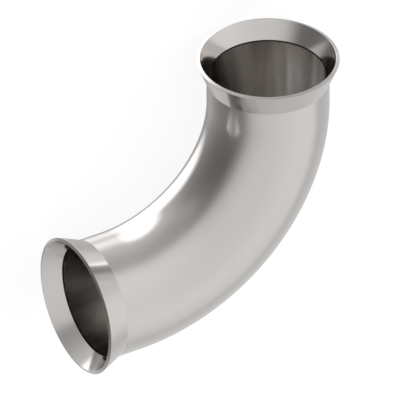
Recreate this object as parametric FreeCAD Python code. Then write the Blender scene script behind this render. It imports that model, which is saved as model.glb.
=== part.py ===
import FreeCAD, Part
import math
import os

# Flared ninety degree pipe elbow: one bent tube whose two ends open out into conical lips.
# All lengths are in millimetres and all angles in degrees.

# Driving dimensions of the tube and its bend.
tube_diameter = 50.8
tube_wall = 1.65
bend_radius = 71.1
bend_angle = 90.0
straight_length = 10.7

# Driving dimensions of the lip at each end. Both cone angles are measured from the port's axis,
# and the rim's edges are bevelled along both faces by rim_bevel.
lip_rise = 4.15
lip_outer_angle = 22.4
lip_inner_angle = 28.5
lip_wall = 1.55
rim_bevel = 0.3
throat_radius = 1.2

tube_radius = tube_diameter / 2
bore_radius = tube_radius - tube_wall

X = FreeCAD.Vector(1, 0, 0)
Y = FreeCAD.Vector(0, 1, 0)
Z = FreeCAD.Vector(0, 0, 1)
BEND_CENTRE = FreeCAD.Vector(0, 0, 0)


def sine(angle):
    return math.sin(math.radians(angle))


def cosine(angle):
    return math.cos(math.radians(angle))


def tangent(angle):
    return math.tan(math.radians(angle))


# The lip's corners. A position is measured along the port's axis from the end of the bend.
# The end face is square to the lip's outer cone.
knee_position = straight_length
rim_radius = tube_radius + lip_rise
rim_position = knee_position + lip_rise / tangent(lip_outer_angle)
mouth_radius = rim_radius - lip_wall * cosine(lip_outer_angle)
mouth_position = rim_position + lip_wall * sine(lip_outer_angle)
throat_position = mouth_position - (mouth_radius - bore_radius) / tangent(lip_inner_angle)


def corner_arc(before, corner, after, radius):
    """The arc that rounds a corner between two straight lines."""
    to_before = (before - corner).normalize()
    to_after = (after - corner).normalize()
    half_angle = to_before.getAngle(to_after) / 2
    setback = radius / math.tan(half_angle)
    bisector = (to_before + to_after).normalize()
    middle = corner + bisector * (radius / math.sin(half_angle) - radius)
    return Part.Arc(corner + to_before * setback, middle, corner + to_after * setback).toShape()


def bevelled(before, corner, after):
    """The two points that replace a corner of the rim."""
    return [corner + (neighbour - corner).normalize() * rim_bevel for neighbour in (before, after)]


def bend_point(sweep):
    """The centre line's point at this angle round the bend from its first end."""
    return FreeCAD.Rotation(Z, -sweep).multVec(-X * bend_radius)


def bend_direction(sweep):
    """The centre line's direction there, away from the first end."""
    return FreeCAD.Rotation(Z, -sweep).multVec(Y)


def make_bend():
    """The bent stretch: the tube's ring section turned about the bend's centre."""
    outside = Part.Wire(Part.makeCircle(tube_radius, bend_point(0), bend_direction(0)))
    inside = Part.Wire(Part.makeCircle(bore_radius, bend_point(0), bend_direction(0)))
    return Part.Face([outside, inside]).revolve(BEND_CENTRE, -Z, bend_angle)


def make_port(bend_end, outward):
    """The straight stretch and its lip, turned in one piece about the port's axis."""
    knee = X * tube_radius + Z * knee_position
    rim = X * rim_radius + Z * rim_position
    mouth = X * mouth_radius + Z * mouth_position
    throat = X * bore_radius + Z * throat_position
    corners = [X * bore_radius, X * tube_radius, knee]
    corners += bevelled(knee, rim, mouth) + bevelled(rim, mouth, throat)
    rounding = corner_arc(corners[-1], throat, corners[0], throat_radius)
    lines = Part.makePolygon([rounding.lastVertex().Point] + corners + [rounding.firstVertex().Point])
    port = Part.Face(Part.Wire(lines.Edges + [rounding])).revolve(FreeCAD.Vector(0, 0, 0), Z, 360)
    port.Placement = FreeCAD.Placement(bend_end, FreeCAD.Rotation(Z, outward))
    return port


def rest_tilt_sine():
    """The sine of the tilt at which both rims and the back of the bend touch the floor."""
    half_bend = bend_angle / 2
    # A rim touches with the edge between its outer cone and its bevel.
    ring_radius = rim_radius - rim_bevel * sine(lip_outer_angle)
    ring_position = rim_position - rim_bevel * cosine(lip_outer_angle)
    # The back of the bend lies this far behind the centres of both these edges.
    reach = bend_radius * (1 - cosine(half_bend)) + ring_position * sine(half_bend)
    # With s as the sine of the tilt, both come down to the floor together when
    # sqrt(1 - (sine(half_bend) * s)^2) * ring_radius = tube_radius + reach * s,
    # and s is then the positive root of a * s^2 + 2 * b * s + c = 0.
    a = reach ** 2 + (ring_radius * sine(half_bend)) ** 2
    b = tube_radius * reach
    c = tube_radius ** 2 - ring_radius ** 2
    return (math.sqrt(b ** 2 - a * c) - b) / a


def lie_down(elbow):
    """Lay the elbow on its side as it comes to rest, with the bend's back lower than its ports."""
    to_back = bend_point(bend_angle / 2).normalize()
    tilt = FreeCAD.Rotation(Z.cross(to_back), math.degrees(math.asin(rest_tilt_sine())))
    lift = Z * (tube_radius + bend_radius * rest_tilt_sine())
    elbow.Placement = FreeCAD.Placement(lift, tilt)
    # The origin goes to the floor, below the middle of the elbow's bounds.
    middle = elbow.optimalBoundingBox(False, False).Center
    elbow.translate(FreeCAD.Vector(-middle.x, -middle.y, 0))


port_a = make_port(bend_point(0), -bend_direction(0))
port_b = make_port(bend_point(bend_angle), bend_direction(bend_angle))
elbow = make_bend().fuse([port_a, port_b]).removeSplitter().Solids[0]
lie_down(elbow)
os.makedirs("parts", exist_ok=True)
elbow.exportStep("parts/elbow.step")
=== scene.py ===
import math

import bpy
from mathutils import Matrix, Vector


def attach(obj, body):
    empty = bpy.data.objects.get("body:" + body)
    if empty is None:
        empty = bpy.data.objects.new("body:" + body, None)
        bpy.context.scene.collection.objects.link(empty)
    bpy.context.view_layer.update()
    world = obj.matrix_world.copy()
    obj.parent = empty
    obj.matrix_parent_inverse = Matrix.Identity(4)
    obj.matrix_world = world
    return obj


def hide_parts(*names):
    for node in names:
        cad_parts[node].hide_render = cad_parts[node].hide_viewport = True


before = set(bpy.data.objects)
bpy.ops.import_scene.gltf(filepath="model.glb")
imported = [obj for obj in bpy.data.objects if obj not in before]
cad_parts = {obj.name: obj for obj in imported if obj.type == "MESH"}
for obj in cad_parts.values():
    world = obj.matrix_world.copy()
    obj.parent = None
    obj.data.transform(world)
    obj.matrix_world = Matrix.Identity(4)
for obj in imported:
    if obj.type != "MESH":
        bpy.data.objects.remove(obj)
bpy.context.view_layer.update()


# shader helpers

class Wire:
    # a socket that can be added, multiplied and so on, each step being a Math node
    def __init__(self, tree, socket):
        self.tree = tree
        self.socket = socket

    def node(self, kind, settings=None, **inputs):
        # any other node: its settings first, then values or links by socket name, or s and a number
        made = self.tree.nodes.new(kind)
        for name, value in (settings or {}).items():
            setattr(made, name, value)
        for name, value in inputs.items():
            numbered = name[0] == "s" and name[1:].isdigit()
            key = int(name[1:]) if numbered else name.replace("_", " ")
            if isinstance(value, Wire):
                self.tree.links.new(value.socket, made.inputs[key])
            else:
                made.inputs[key].default_value = value
        return made

    def out(self, made, name=0):
        return Wire(self.tree, made.outputs[name])

    def math(self, operation, a, b):
        return self.out(self.node("ShaderNodeMath", {"operation": operation}, s0=a, s1=b))

    def noise(self, vector, scale, detail, roughness=0.5):
        made = self.node("ShaderNodeTexNoise", Vector=vector, Scale=scale, Detail=detail,
                         Roughness=roughness)
        return self.out(made, "Fac")

    def blend(self, amount, colour, otherColour):
        made = self.node("ShaderNodeMix", {"data_type": "RGBA"}, s0=amount, s6=(*colour, 1),
                         s7=(*otherColour, 1))
        return self.out(made, 2)

    def __add__(self, other):
        return self.math("ADD", self, other)

    def __sub__(self, other):
        return self.math("SUBTRACT", self, other)

    def __rsub__(self, other):
        return self.math("SUBTRACT", other, self)

    def __mul__(self, other):
        return self.math("MULTIPLY", self, other)

    __radd__ = __add__
    __rmul__ = __mul__


noiseMiddle = 0.5                # the value that noise varies around


def newMaterial(name):
    made = bpy.data.materials.new(name)
    made.use_nodes = True
    made.node_tree.nodes.clear()
    return made, Wire(made.node_tree, None)


def metalSkin(wire, finish, colour, pattern, **more):
    # the roughness goes up and down with the pattern
    rough = (pattern - noiseMiddle) * (2 * finish["roughnessSpread"]) + finish["roughness"]
    skin = wire.node("ShaderNodeBsdfPrincipled", Base_Color=colour, Metallic=1.0, Roughness=rough,
                     **more)
    wire.node("ShaderNodeOutputMaterial", Surface=wire.out(skin))


def grainBump(wire, finish, place):
    grain = wire.noise(place, 1 / finish["grainSize"], finish["grainDetail"])
    return wire.out(wire.node("ShaderNodeBump", Height=grain, Distance=finish["grainDepth"],
                              Strength=1.0), "Normal")


# the elbow, modelled flat round the middle of its bend and then laid down; sizes in metres

elbow = {
    "tubeRadius": 0.0254,
    "boreRadius": 0.02375,
    "bendRadius": 0.0711,
    "kneeAt": 0.0107,            # where the lip starts, along a port's axis from the bend's end
    "lipRise": 0.00415,          # how far the rim stands out over the tube
    "lipWall": 0.00155,          # the width of the rim's face, which is square to the lip's outside
    "lipOuterAngle": math.radians(22.4),
    "lipInnerAngle": math.radians(28.5),
    "rimRounding": 0.00012,
    "roundingSteps": 8,
    "jointWidth": 0.00045,       # the fine joint line between lip and bore, up the lip
    "jointDepth": 0.00012,
    "jointDrop": 0.0002,         # how far the line reaches into the bore
    "holdEdge": 0.00012,         # keeps the shading of flat stretches flat beside a rounding
    "surfaceMargin": 0.00005,    # within this a face counts as part of the bore or the joint
    "mergeDistance": 0.000001,
    "ringSides": 192,
    "bendSteps": 90,
    "sharpAngle": math.radians(15),
    "restTilt": math.radians(6.412),     # the back of the bend goes down until it touches the floor
    "middleAside": 0.038366,     # from the elbow's middle to the bend's, along x and along y
}


def lipCorners():
    # the knee where the lip starts, both edges of the rim's face, and the throat, each as a
    # distance from the port's axis and a place along it
    outerAngle, innerAngle = elbow["lipOuterAngle"], elbow["lipInnerAngle"]
    knee = Vector((elbow["tubeRadius"], elbow["kneeAt"]))
    rim = knee + Vector((1, 1 / math.tan(outerAngle))) * elbow["lipRise"]
    mouth = rim + Vector((-math.cos(outerAngle), math.sin(outerAngle))) * elbow["lipWall"]
    throatDepth = (mouth.x - elbow["boreRadius"]) / math.tan(innerAngle)
    return knee, rim, mouth, Vector((elbow["boreRadius"], mouth.y - throatDepth))


def roundedCorner(before, corner, after):
    # points of the arc that rounds this corner, with a hold point on the line at each end
    rounding, steps = elbow["rimRounding"], elbow["roundingSteps"]
    inward, outward = (before - corner).normalized(), (after - corner).normalized()
    half = inward.angle(outward) / 2
    setback = rounding / math.tan(half)
    centre = corner + (inward + outward).normalized() * (rounding / math.sin(half))
    start, end = corner + inward * setback - centre, corner + outward * setback - centre
    turn = start.angle(end)
    points = [corner + inward * (setback + elbow["holdEdge"])]
    for step in range(steps + 1):
        part = step / steps
        swung = start * math.sin((1 - part) * turn) + end * math.sin(part * turn)
        points.append(centre + swung / math.sin(turn))
    return points + [corner + outward * (setback + elbow["holdEdge"])]


def portProfile():
    # points like the lip's corners, from the end of the bend round the lip and back into the bore
    knee, rim, mouth, throat = lipCorners()
    hold, depth = elbow["holdEdge"], elbow["jointDepth"]
    slope = (mouth - throat).normalized()
    into = Vector((slope.y, -slope.x))
    jointTop = throat + slope * elbow["jointWidth"]
    jointEnd = throat.y - elbow["jointDrop"]
    profile = [(knee.x, knee.y / 2), (knee.x, knee.y - hold), knee]
    profile += roundedCorner(knee, rim, mouth)
    profile += roundedCorner(rim, mouth, throat)
    profile += [jointTop + slope * hold, jointTop, jointTop + into * depth]
    profile += [(throat.x + depth, throat.y), (throat.x + depth, jointEnd)]
    profile += [(throat.x, jointEnd), (throat.x, jointEnd - hold), (throat.x, throat.y / 2)]
    return profile


def extrudePort(axisPoint, wayOut, profile, lastRing):
    # the ring that is selected is carried along the profile, one extrusion for each of its points,
    # and grows only across the port's axis
    for (radiusNow, placeNow), (radius, place) in zip([lastRing] + profile, profile):
        move = Vector(wayOut) * (place - placeNow)
        bpy.ops.mesh.extrude_region_move(TRANSFORM_OT_translate={"value": move})
        centre = Vector(axisPoint) + Vector(wayOut) * place
        grow = radius / radiusNow
        size = [1 if part else grow for part in wayOut]
        bpy.ops.transform.resize(value=size, center_override=centre)


def wayRound(point):
    # where a point of the flat elbow lies: its direction round the tube, its place along it, its
    # distance from the tube's middle, and how far out in a port it is
    bendRadius = elbow["bendRadius"]
    bendLength = bendRadius * math.pi / 2
    if point.y <= 0:
        along, outward = point.y, -point.x - bendRadius
    elif point.x >= 0:
        along, outward = bendLength + point.x, point.y - bendRadius
    else:
        along = bendRadius * math.atan2(point.y, -point.x)
        outward = math.hypot(point.x, point.y) - bendRadius
    away = math.hypot(outward, point.z)
    portPlace = max(-along, along - bendLength)
    return outward / away, point.z / away, along, away, portPlace


def markSurface(tube):
    # an attribute for patterns that run along the tube, and which faces are steel (0), bore (1)
    # and joint line (2)
    mesh = tube.data
    places = [wayRound(vertex.co) for vertex in mesh.vertices]
    roundTube = mesh.attributes.new("roundTube", "FLOAT_VECTOR", "POINT")
    for entry, place in zip(roundTube.data, places):
        entry.vector = place[:3]
    margin = elbow["surfaceMargin"]
    throat = lipCorners()[-1]
    boreLimit = throat.x + margin
    jointLimit = throat.x + elbow["jointWidth"]
    jointFrom = throat.y - elbow["jointDrop"] - margin
    jointTo = throat.y + elbow["jointWidth"]
    for face in mesh.polygons:
        corners = [places[vertex][3:] for vertex in face.vertices]
        inBore = all(away < boreLimit for away, portPlace in corners)
        inJoint = all(away < jointLimit and jointFrom < portPlace < jointTo
                      for away, portPlace in corners)
        face.material_index = 1 if inBore else 2 if inJoint else 0


def makeElbow():
    outer, inner, bendRadius = elbow["tubeRadius"], elbow["boreRadius"], elbow["bendRadius"]
    endA, endB = (-bendRadius, 0, 0), (0, bendRadius, 0)
    outA, outB = (0, -1, 0), (1, 0, 0)
    quarter, steps = math.pi / 2, elbow["bendSteps"]
    profile = portProfile()
    bpy.ops.object.select_all(action="DESELECT")
    bpy.ops.mesh.primitive_circle_add(vertices=elbow["ringSides"], radius=outer,
                                      fill_type="NOTHING", location=endA,
                                      rotation=(quarter, 0, 0))
    tube = bpy.context.object
    tube.name = "elbow_tube"
    bpy.ops.object.transform_apply(location=True, rotation=True, scale=True)
    bpy.ops.object.mode_set(mode="EDIT")
    bpy.ops.mesh.select_all(action="SELECT")
    # the outside of the bend, round the lip of port B, back along the bore, and round port A's lip
    bpy.ops.mesh.spin(steps=steps, angle=quarter, center=(0, 0, 0), axis=(0, 0, 1))
    extrudePort(endB, outB, profile + [(inner, 0)], (outer, 0))
    bpy.ops.mesh.spin(steps=steps, angle=-quarter, center=(0, 0, 0), axis=(0, 0, 1))
    extrudePort(endA, outA, profile[::-1] + [(outer, 0)], (inner, 0))
    bpy.ops.mesh.select_all(action="SELECT")
    bpy.ops.mesh.remove_doubles(threshold=elbow["mergeDistance"])
    bpy.ops.mesh.normals_make_consistent(inside=False)
    bpy.ops.object.mode_set(mode="OBJECT")
    markSurface(tube)

    # laid down on both lips and the back of the bend; the object's own origin stays at the world's
    tilt, aside = elbow["restTilt"], elbow["middleAside"]
    lift = outer + bendRadius * math.sin(tilt)
    turned = Matrix.Rotation(tilt, 4, (-1, -1, 0))
    tube.matrix_world = Matrix.Translation((aside, -aside, lift)) @ turned
    bpy.ops.object.transform_apply(location=True, rotation=True, scale=True)
    bpy.ops.object.shade_smooth_by_angle(angle=elbow["sharpAngle"], keep_sharp_edges=True)
    print("elbow modelled,", len(tube.data.polygons), "faces")
    return tube


# polished stainless steel

steel = {
    "tint": (0.745, 0.719, 0.699),
    "roughness": 0.13,
    "roughnessSpread": 0.03,
    "patchSize": 0.03,
    "patchDetail": 3.0,
    "grainSize": 0.0012,
    "grainDepth": 0.000001,
    "grainDetail": 2.0,
}


def makeSteel():
    made, wire = newMaterial("polished_steel")
    place = wire.out(wire.node("ShaderNodeTexCoord"), "Object")
    patches = wire.noise(place, 1 / steel["patchSize"], steel["patchDetail"])
    metalSkin(wire, steel, (*steel["tint"], 1), patches, Normal=grainBump(wire, steel, place))
    return made


# the bore, which was never polished: a duller skin with faint drawing lines along the tube

bore = {
    "tint": (0.828, 0.8, 0.774),
    "darkTint": (0.683, 0.66, 0.639),
    "roughness": 0.18,
    "roughnessSpread": 0.06,
    "linesRound": 3.0,           # more makes the lines finer round the tube
    "linesAlong": 6.0,           # more makes them shorter
    "lineDetail": 4.0,
    "lineRoughness": 0.6,
    "lineRange": (0.3, 0.7),     # the part of the noise that goes from dark to light
    "grainSize": 0.0009,
    "grainDepth": 0.000002,
    "grainDetail": 2.0,
}


def makeBore():
    made, wire = newMaterial("drawn_bore")
    place = wire.out(wire.node("ShaderNodeTexCoord"), "Object")
    roundTube = wire.out(wire.node("ShaderNodeAttribute", {"attribute_name": "roundTube"}),
                         "Vector")
    stretch = (bore["linesRound"], bore["linesRound"], bore["linesAlong"])
    stretched = wire.out(wire.node("ShaderNodeVectorMath", {"operation": "MULTIPLY"},
                                   s0=roundTube, s1=stretch))
    lines = wire.noise(stretched, 1.0, bore["lineDetail"], bore["lineRoughness"])
    darkest, lightest = bore["lineRange"]
    lines = wire.out(wire.node("ShaderNodeMapRange", Value=lines, From_Min=darkest,
                               From_Max=lightest))
    metalSkin(wire, bore, wire.blend(lines, bore["darkTint"], bore["tint"]), lines,
              Normal=grainBump(wire, bore, place))
    return made


# the joint line, dull and dark: its dark colour is painted shade for the groove, with patches that
# vary it at random

joint = {
    # painted shade: these dark colours stand in for the shade that falls in the groove
    "colour": (0.014, 0.013, 0.012),
    "paleColour": (0.028, 0.026, 0.024),
    "roughness": 0.35,
    "roughnessSpread": 0.1,
    "patchSize": 0.004,
    "patchDetail": 3.0,
}


def makeJointShade():
    made, wire = newMaterial("joint_line_painted_shade")
    place = wire.out(wire.node("ShaderNodeTexCoord"), "Object")
    patches = wire.noise(place, 1 / joint["patchSize"], joint["patchDetail"])
    metalSkin(wire, joint, wire.blend(patches, joint["colour"], joint["paleColour"]), patches)
    return made


# studio

studio = {
    "floorSize": 6.0,
    "floorGlow": 0.84,           # what the camera sees of the floor without any light on it
    "floorColour": (0.24, 0.24, 0.24),
    "soft": 0.8,                 # even light for everything that isn't a mirror
    "open": 0.55,                # level of the surroundings where no panel is
}

# soft panels round the object, as mirrors see them, each over the ones before it: the way to its
# middle in degrees, its level, its half angle as a cosine, and how far its edge fades either way
panels = {
    "sky": {"azimuth": 144, "elevation": 82, "level": 0.83, "edge": 0.28, "soft": 0.18},
    "darkSide": {"azimuth": 3, "elevation": -7, "level": 0.0, "edge": 0.71, "soft": 0.91},
    "table": {"azimuth": -51, "elevation": -83, "level": 1.59, "edge": 0.91, "soft": 0.06},
    "backWall": {"azimuth": 100, "elevation": -17, "level": 0.84, "edge": 0.88, "soft": 0.31},
    "frontLamp": {"azimuth": -94, "elevation": -44, "level": 4.45, "edge": 1.01, "soft": 0.08},
    "leftLamp": {"azimuth": -166, "elevation": -18, "level": 4.88, "edge": 1.23, "soft": 0.39},
    "skyEdge": {"azimuth": 11, "elevation": 69, "level": 0.72, "edge": 0.74, "soft": 0.36},
    "tableBack": {"azimuth": 107, "elevation": -63, "level": 0.35, "edge": 0.97, "soft": 0.05},
    "frontGlow": {"azimuth": -89, "elevation": -42, "level": 2.16, "edge": 1.4, "soft": 0.73},
    "darkBack": {"azimuth": 93, "elevation": 4, "level": 0.05, "edge": 1.3, "soft": 0.77},
    "tableFront": {"azimuth": -98, "elevation": -55, "level": 1.74, "edge": 0.97, "soft": 0.04},
    "darkFront": {"azimuth": -91, "elevation": 6, "level": 0.05, "edge": 1.25, "soft": 0.57},
    "cornerLamp": {"azimuth": -137, "elevation": -41, "level": 3.19, "edge": 1.0, "soft": 0.03},
    "rightLamp": {"azimuth": -50, "elevation": -11, "level": 1.63, "edge": 1.2, "soft": 0.28},
}

view = {
    "lens": 1500.0,
    "sensorWidth": 36.0,
    "clipStart": 0.5,
    "clipEnd": 50.0,
    "azimuth": 33.7247,
    "elevation": 51.2235,
    "roll": 136.733,
    "distance": 6.8807,
    "target": (0.000682, -0.000742, 0.028540),
}


def makeWorld():
    world = bpy.data.worlds.new("studio")
    bpy.context.scene.world = world
    world.use_nodes = True
    world.node_tree.nodes.clear()
    wire = Wire(world.node_tree, None)
    way = wire.out(wire.node("ShaderNodeTexCoord"), "Generated")
    level = studio["open"]
    for panel in panels.values():
        turn, rise = math.radians(panel["azimuth"]), math.radians(panel["elevation"])
        aim = (math.cos(turn) * math.cos(rise), math.sin(turn) * math.cos(rise), math.sin(rise))
        facing = wire.out(wire.node("ShaderNodeVectorMath", {"operation": "DOT_PRODUCT"}, s0=way,
                                    s1=aim), "Value")
        inside = wire.out(wire.node("ShaderNodeMapRange", {"interpolation_type": "SMOOTHSTEP"},
                                    Value=facing, From_Min=panel["edge"] - panel["soft"],
                                    From_Max=panel["edge"] + panel["soft"]))
        level = inside * panel["level"] + (1 - inside) * level
    path = wire.node("ShaderNodeLightPath")
    seen = wire.out(path, "Is Camera Ray")
    mirrored = wire.math("MAXIMUM", wire.out(path, "Is Glossy Ray"),
                         wire.out(path, "Is Transmission Ray"))
    level = seen + (1 - seen) * (mirrored * level + (1 - mirrored) * studio["soft"])
    glow = wire.node("ShaderNodeBackground", Color=(1, 1, 1, 1), Strength=level)
    wire.node("ShaderNodeOutputWorld", Surface=wire.out(glow))


def makeFloor():
    bpy.ops.object.select_all(action="DESELECT")
    bpy.ops.mesh.primitive_plane_add(size=studio["floorSize"], location=(0, 0, 0))
    floor = bpy.context.object
    floor.name = "studio_floor"
    floor.visible_glossy = False
    made, wire = newMaterial("pale_floor")
    seen = wire.out(wire.node("ShaderNodeLightPath"), "Is Camera Ray")
    matte = wire.out(wire.node("ShaderNodeBsdfDiffuse", Color=(*studio["floorColour"], 1)))
    glow = wire.out(wire.node("ShaderNodeEmission", Color=(1, 1, 1, 1),
                              Strength=seen * studio["floorGlow"]))
    both = wire.out(wire.node("ShaderNodeAddShader", s0=matte, s1=glow))
    wire.node("ShaderNodeOutputMaterial", Surface=both)
    floor.data.materials.append(made)


def makeCamera():
    turn, rise, roll = (math.radians(view[name]) for name in ("azimuth", "elevation", "roll"))
    back = Vector((math.sin(turn) * math.cos(rise), -math.cos(turn) * math.cos(rise),
                   math.sin(rise)))
    level = Vector((0, 0, 1)).cross(back).normalized()
    upright = back.cross(level)
    right = level * math.cos(roll) + upright * math.sin(roll)
    lens = bpy.data.cameras.new("camera")
    lens.lens = view["lens"]
    lens.sensor_width = view["sensorWidth"]
    lens.clip_start, lens.clip_end = view["clipStart"], view["clipEnd"]
    camera = bpy.data.objects.new("camera", lens)
    bpy.context.scene.collection.objects.link(camera)
    camera.matrix_world = Matrix((right, back.cross(right), back)).transposed().to_4x4()
    camera.location = Vector(view["target"]) + back * view["distance"]
    bpy.context.scene.camera = camera


tube = makeElbow()
for material in (makeSteel(), makeBore(), makeJointShade()):
    tube.data.materials.append(material)
print("materials made")
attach(tube, "root")
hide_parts("elbow")

makeWorld()
makeFloor()
makeCamera()
bpy.context.scene.view_settings.view_transform = "Standard"
print("studio ready")
